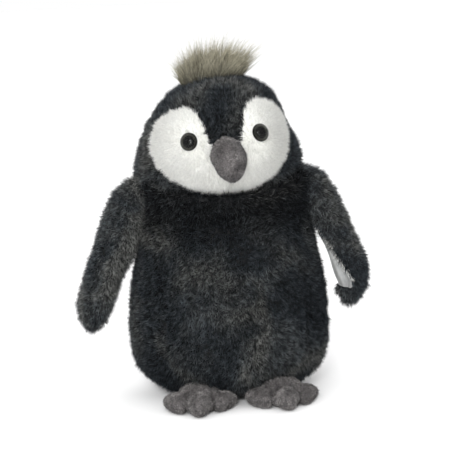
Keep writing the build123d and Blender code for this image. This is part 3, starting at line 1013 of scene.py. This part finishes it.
def wing_skin(name):
    sign = SIDES[name]
    around = 96
    levels = 84
    rows, slope = wing_line(name, levels)
    angle = np.linspace(0.0, 2.0 * math.pi, around, endpoint=False)
    rings = np.zeros((levels, around, 3))
    share = np.linspace(0.0, 1.0, levels)
    forward = -wing_lead(share)
    for index, (out, high, wide, deep) in enumerate(rows):
        wide = max(wide - PILE_STAND, 1.2 * MM)
        deep = max(deep - PILE_STAND, 1.2 * MM)
        across = wide * np.cos(angle)
        ahead = deep * np.sin(angle)
        rings[index, :, 0] = sign * (out - across * slope[index, 1])
        rings[index, :, 1] = forward[index] - ahead
        rings[index, :, 2] = high + across * slope[index, 0]
    phi = np.tile(angle, levels)
    along = np.repeat(share, around)
    points = rings.reshape(-1, 3)
    middle = np.stack([sign * rows[:, 0], forward, rows[:, 1]], axis=1).repeat(around, axis=0)
    outward = unit(points - middle)
    push = 0.6 * MM * waves(points, 26 * MM, 71 if sign > 0 else 72)
    if sign > 0:
        fold = np.degrees(phi) - lining_edge(along, name) - 24.0
        inside = smoothstep(along, 0.42, 0.55) * (1 - smoothstep(along, 0.86, 0.95))
        push -= 3.4 * MM * np.exp(-(fold / 9.0) ** 2) * inside
    else:
        crease = np.degrees(phi) - crease_angle(along)
        inside = smoothstep(along, 0.36, 0.50) * (1 - smoothstep(along, 0.80, 0.92))
        push -= 5.2 * MM * np.exp(-(crease / 12.0) ** 2) * inside
    points = points + outward * push[:, None]
    first = (rings[0].mean(0) + (rings[0].mean(0) - rings[2].mean(0)) * 0.8)
    last = rings[-1].mean(0) + (rings[-1].mean(0) - rings[-3].mean(0)) * 0.8
    return closed_rings("wing_" + name + "_backing", points.reshape(rings.shape), first, last)


LINING_BACK = 272.0              # the angle round a wing at which the lining ends


def lining_edge(share, name):
    """The angle round the wing, from outwards through the front, where the lining begins."""
    if name == "left":
        return smooth_through(np.array([0.0, 0.38, 0.52, 0.66, 0.80, 1.0]),
                              np.array([176.0, 150.0, 134.0, 118.0, 101.0, 90.0]), np.clip(share, 0, 1))
    return np.full(np.shape(share), 176.0)


def wing_places(name, points):
    """How far along a wing, and at what angle round it, a place is."""
    sign = SIDES[name]
    levels = 200
    rows, slope = wing_line(name, levels)
    flat = np.stack([sign * points[:, 0], points[:, 2]], axis=1)
    gap = np.linalg.norm(flat[:, None, :] - rows[None, :, :2], axis=2)
    nearest = gap.argmin(axis=1)
    share = nearest / (levels - 1.0)
    slope = slope[nearest]
    off = flat - rows[nearest, :2]
    across = off[:, 1] * slope[:, 0] - off[:, 0] * slope[:, 1]
    ahead = -points[:, 1] - wing_lead(share)
    angle = np.degrees(np.arctan2(ahead / rows[nearest, 3], across / rows[nearest, 2])) % 360.0
    return share, angle


def wing_sheen_and_crease_shade(name):
    """Painted light: each wing's pile is lifted paler as painted sheen, and the right wing's long crease is
    painted dark as shade, with a painted highlight along its inner flank.
    """
    def tone(points):
        share, angle = wing_places(name, points)
        # painted sheen over the whole wing
        shade = np.full(len(points), 0.28)
        if name == "right":
            crease = angle - crease_angle(share)
            inside = smoothstep(share, 0.36, 0.50) * (1 - smoothstep(share, 0.82, 0.94))
            # painted shade in the crease
            shade -= 0.75 * np.exp(-(crease / 8.0) ** 2) * inside
            # painted highlight along the crease's inner flank
            shade += 0.45 * np.exp(-((crease - 20.0) / 12.0) ** 2) * inside
        return shade
    return tone


def in_lining(name, points):
    """Which places on a wing the lining covers."""
    share, angle = wing_places(name, points)
    inside = (angle > lining_edge(share, name)) & (angle < LINING_BACK)
    return inside & (share > 0.40) & (share < 0.90)


def make_wing(name, seed):
    sign = SIDES[name]
    skin = wing_skin(name)
    body = "wing_" + name
    bones = np.array(WINGS[name]) * MM
    tip = np.array([sign * bones[-1][0], -8 * MM, bones[-1][1]])
    start = np.array([sign * 58 * MM, 0.0, 138 * MM])
    way = unit(tip - start)
    skin.data.materials.append(MATERIALS["plush_back"])
    skin.data.materials.append(MATERIALS["lining"])
    lined = in_lining(name, face_centres(skin))
    skin.data.polygons.foreach_set("material_index", lined.astype(np.int32))

    def dark_side(points):
        share, _ = wing_places(name, points)
        buried = (share < 0.1) & (sign * points[:, 0] < 50 * MM)
        return ~in_lining(name, points) & ~buried

    def pale_edge(points):
        share, angle = wing_places(name, points)
        edge = lining_edge(share, name)
        near = (angle > edge - 4.0) & (angle < edge + 5.0)
        return near & (share > 0.42) & (share < 0.84)

    def comb(points, normals):
        return way + 0.35 * wave_vectors(points, 30 * MM, seed)

    dark = grow("wing_" + name + "_pile", skin, MATERIALS["plush_wing"], 2.3, PILE, 0.6 * MM, comb,
                seed, keep=dark_side, tone=wing_sheen_and_crease_shade(name))
    pale = grow("wing_" + name + "_lining_edge", skin, MATERIALS["white"], 4.0, 3.4 * MM, 0.34 * MM, comb,
                seed + 5, stand=0.5, stray=0.15, keep=pale_edge)
    for piece, slot, nodes in ((skin, "lining", (body + "_lining", body + "_fill")),
                               (dark, "plush", (body + "_outer_panel",)),
                               (pale, "white_pile", (body + "_lining",))):
        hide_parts(*nodes)
        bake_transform(piece)


# ---- feet
FOOT_LUMPS = [                   # across, ahead, up, half width, half length, half height, turn
    (0.0, 5.0, 7.8, 15.5, 16.0, 8.0, 0.0),
    (0.0, 21.0, 6.8, 6.8, 15.0, 7.0, 0.0),
    (13.0, 12.5, 5.6, 9.4, 13.5, 5.8, -36.0),
    (-13.0, 12.5, 5.6, 9.4, 13.5, 5.8, 36.0),
]


def foot_matrix(name):
    joint = JOINTS["foot_" + name + "_flop"]
    x, y, _ = joint["pos_m"]
    axis = Vector(joint["axis"])
    turn = math.atan2(-axis.y, -axis.x)
    return Matrix.Translation((x, y + 6 * MM, 0.0)) @ Matrix.Rotation(turn, 4, "Z")


def lump(across, ahead, up, half_width, half_length, half_height, turn):
    """One stuffed swelling of a foot, as rings of a rounded pebble."""
    rings = []
    for polar in np.linspace(0.12, math.pi - 0.12, 18):
        ring = []
        for spin in np.linspace(0.0, 2.0 * math.pi, 28, endpoint=False):
            ring.append((math.sin(polar) * math.cos(spin), math.sin(polar) * math.sin(spin), math.cos(polar)))
        rings.append(ring)
    rings = np.array(rings)[::-1] * np.array([half_width, half_length, half_height])
    angle = math.radians(turn)
    spun = rings.copy()
    spun[:, :, 0] = rings[:, :, 0] * math.cos(angle) - rings[:, :, 1] * math.sin(angle)
    spun[:, :, 1] = rings[:, :, 0] * math.sin(angle) + rings[:, :, 1] * math.cos(angle)
    spun = spun + np.array([across, -ahead, up])
    spun = spun * MM
    low = spun[0].mean(0) - np.array([0, 0, 0.02 * half_height * MM])
    high = spun[-1].mean(0) + np.array([0, 0, 0.02 * half_height * MM])
    return closed_rings("lump", spun, low, high)


def foot_skin(name):
    lumps = [lump(*row) for row in FOOT_LUMPS]
    with bpy.context.temp_override(active_object=lumps[0], object=lumps[0],
                                   selected_objects=lumps, selected_editable_objects=lumps):
        bpy.ops.object.join()
    skin = lumps[0]
    skin.name = "foot_" + name + "_backing"
    remesh = skin.modifiers.new("union", "REMESH")
    remesh.mode = "VOXEL"
    remesh.voxel_size = 0.9 * MM
    soften = skin.modifiers.new("soften", "SMOOTH")
    soften.factor = 0.6
    soften.iterations = 4
    flatten_modifiers(skin)
    verts, normals, _ = mesh_arrays(skin)
    seam = np.exp(-((verts[:, 2] - 4.2 * MM) / (1.0 * MM)) ** 2)
    flap = smoothstep(np.abs(verts[:, 0]), 7 * MM, 11 * MM) * smoothstep(-verts[:, 1], 8 * MM, 16 * MM)
    push = -1.7 * MM * seam * flap
    for across in (-8.6, 8.6):
        groove = np.abs(verts[:, 0] - across * MM * (0.8 + 0.012 * -verts[:, 1] / MM))
        push -= 3.0 * MM * np.exp(-(groove / (1.6 * MM)) ** 2) * smoothstep(-verts[:, 1], 5 * MM, 14 * MM)
    push += 0.45 * MM * waves(verts, 11 * MM, 91)
    verts = verts + normals * push[:, None]
    verts[:, 2] = np.where(verts[:, 2] < 1.2 * MM, 0.5 * MM + 0.3 * verts[:, 2], verts[:, 2])
    verts[:, 2] = np.maximum(verts[:, 2], 0.4 * MM)
    place = np.array(foot_matrix(name))
    verts = verts @ place[:3, :3].T + place[:3, 3]
    set_places(skin, verts)
    for polygon in skin.data.polygons:
        polygon.use_smooth = True
    return skin


def make_foot(name, seed):
    skin = foot_skin(name)
    body = "foot_" + name
    skin.data.materials.clear()
    skin.data.materials.append(MATERIALS["short_back"])
    pile = grow(body + "_pile", skin, MATERIALS["short"], 5.2, 2.1 * MM, 0.36 * MM,
                lambda points, normals: np.array([0.0, -1.0, -0.5]) + 0 * points, seed,
                stand=0.5, stray=0.2, clump=4 * MM, keep=lambda points: points[:, 2] > 1.0 * MM)
    belongs(skin, body, "short_pile", body + "_upper", body + "_sole", body + "_fill")
    belongs(pile, body, "short_pile", body + "_upper")


# ---- blank label in the back seam
def make_label():
    """A ribbon sewn into the seam by both its ends, folded at its free edge."""
    low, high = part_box("care_label")
    reach = 13.0 * MM
    root = BACK_DEPTH - 3.0 * MM
    out = np.linspace(0.0, 1.0, 12)
    turn = np.linspace(0.0, math.pi, 8)[1:-1]
    gap = 0.7 * MM
    path = [(gap, root + share * reach) for share in out]
    path += [(gap * math.cos(angle), root + reach + gap * math.sin(angle)) for angle in turn]
    path += [(-gap, root + share * reach) for share in out[::-1]]
    path = np.array(path)
    way = unit(np.gradient(path, axis=0))
    side = np.stack([way[:, 1], -way[:, 0]], axis=1)
    levels = np.linspace(low.z, high.z, 14)
    verts = []
    for level in levels:
        share = (level - low.z) / (high.z - low.z)
        for offset in (0.15 * MM, -0.15 * MM):
            row = path + side * offset
            bend = 1.6 * MM * np.sin(2.4 * share + 0.6) * ((row[:, 1] - root) / reach) ** 2
            verts.append(np.stack([row[:, 0] + bend, row[:, 1], np.full(len(row), level)], axis=1))
    count = len(path)
    verts = np.concatenate(verts)
    grid = np.arange(len(verts)).reshape(len(levels), 2, count)
    quads = []
    for side_index in (0, 1):
        sheet = grid[:, side_index]
        face = np.stack([sheet[:-1, :-1], sheet[:-1, 1:], sheet[1:, 1:], sheet[1:, :-1]], axis=-1)
        quads.append(face.reshape(-1, 4)[:, ::-1 if side_index else 1])
    for outer, inner, order in ((grid[0, 0], grid[0, 1], -1), (grid[-1, 0], grid[-1, 1], 1),
                                (grid[:, 0, 0], grid[:, 1, 0], 1), (grid[:, 0, -1], grid[:, 1, -1], -1)):
        face = np.stack([outer[:-1], outer[1:], inner[1:], inner[:-1]], axis=-1)
        quads.append(face[:, ::order])
    label = new_object("care_label_ribbon", verts, [np.concatenate(quads)])
    label.data.materials.append(MATERIALS["label"])
    belongs(label, "torso", "label", "care_label")


# ---- CAD nodes that stay
def dress_cad_nodes():
    stays = {"bean_pouch": "pouch", "bean_pellets": "pellets", "neck_fill": "stuffing"}
    for node, material in stays.items():
        piece = frame["nodes"][node]
        piece.data.materials.clear()
        piece.data.materials.append(MATERIALS[material])


# ---- floor, light and camera
def make_stage():
    floor = new_object("floor", [(-6, -6, 0), (6, -6, 0), (6, 6, 0), (-6, 6, 0)], [[(0, 1, 2, 3)]])
    material, tree, shader = node_material("pale_floor")
    tone = ramp(tree, noise(tree, 3.0), [(0.3, (0.93, 0.93, 0.93)), (0.7, (0.95, 0.95, 0.95))])
    tree.links.new(tone, shader.inputs["Base Color"])
    shader.inputs["Roughness"].default_value = 0.8
    floor.data.materials.append(material)
    world = bpy.data.worlds.new("studio")
    bpy.context.scene.world = world
    world.use_nodes = True
    world.node_tree.nodes["Background"].inputs["Color"].default_value = (1.0, 1.0, 1.0, 1.0)
    world.node_tree.nodes["Background"].inputs["Strength"].default_value = 1.0


def soft_light(name, place, size, power):
    light = bpy.data.lights.new(name, "AREA")
    light.size = size
    light.energy = power
    lamp = add_object(name, light)
    lamp.location = place
    lamp.rotation_euler = (Vector((0, 0, 0.12)) - Vector(place)).to_track_quat("-Z", "Y").to_euler()


def make_lights():
    overhead = bpy.data.lights.new("overhead", "SUN")
    overhead.energy = 0.6
    overhead.angle = math.radians(100.0)
    lamp = add_object("overhead", overhead)
    lamp.rotation_euler = Vector((0.25, 0.55, -1.0)).to_track_quat("-Z", "Y").to_euler()
    soft_light("key", (-0.30, -1.35, 0.65), 0.35, 11.5)
    soft_light("catch", (-0.16, -1.2, 0.50), 0.09, 2.2)
    soft_light("rim", (0.5, 1.0, 1.1), 0.9, 3.0)


def make_camera():
    """A long lens, a little above, a little to the toy's right, and rolled as the toy leans."""
    distance = 1.265
    rise = math.radians(9.5)
    swing = math.radians(5.0)
    target = Vector((0.0, 0.0, 0.1152))
    away = Vector((-math.sin(swing) * math.cos(rise), -math.cos(swing) * math.cos(rise), math.sin(rise)))
    camera = bpy.data.cameras.new("camera")
    camera.lens = 147.0
    camera.clip_start = 0.05
    holder = add_object("camera", camera)
    holder.location = target + away * distance
    look = (-away).to_track_quat("-Z", "Y").to_matrix().to_4x4()
    roll = Matrix.Rotation(math.radians(-3.1), 4, "Z")
    holder.matrix_world = Matrix.Translation(holder.location) @ look @ roll
    bpy.context.scene.camera = holder


make_materials()
make_torso()
make_head()
make_eyes()
make_beak()
make_crest()
make_wing("left", 600)
make_wing("right", 640)
make_foot("left", 700)
make_foot("right", 720)
make_label()
dress_cad_nodes()
make_stage()
make_lights()
make_camera()
bpy.context.scene.view_settings.view_transform = "Standard"
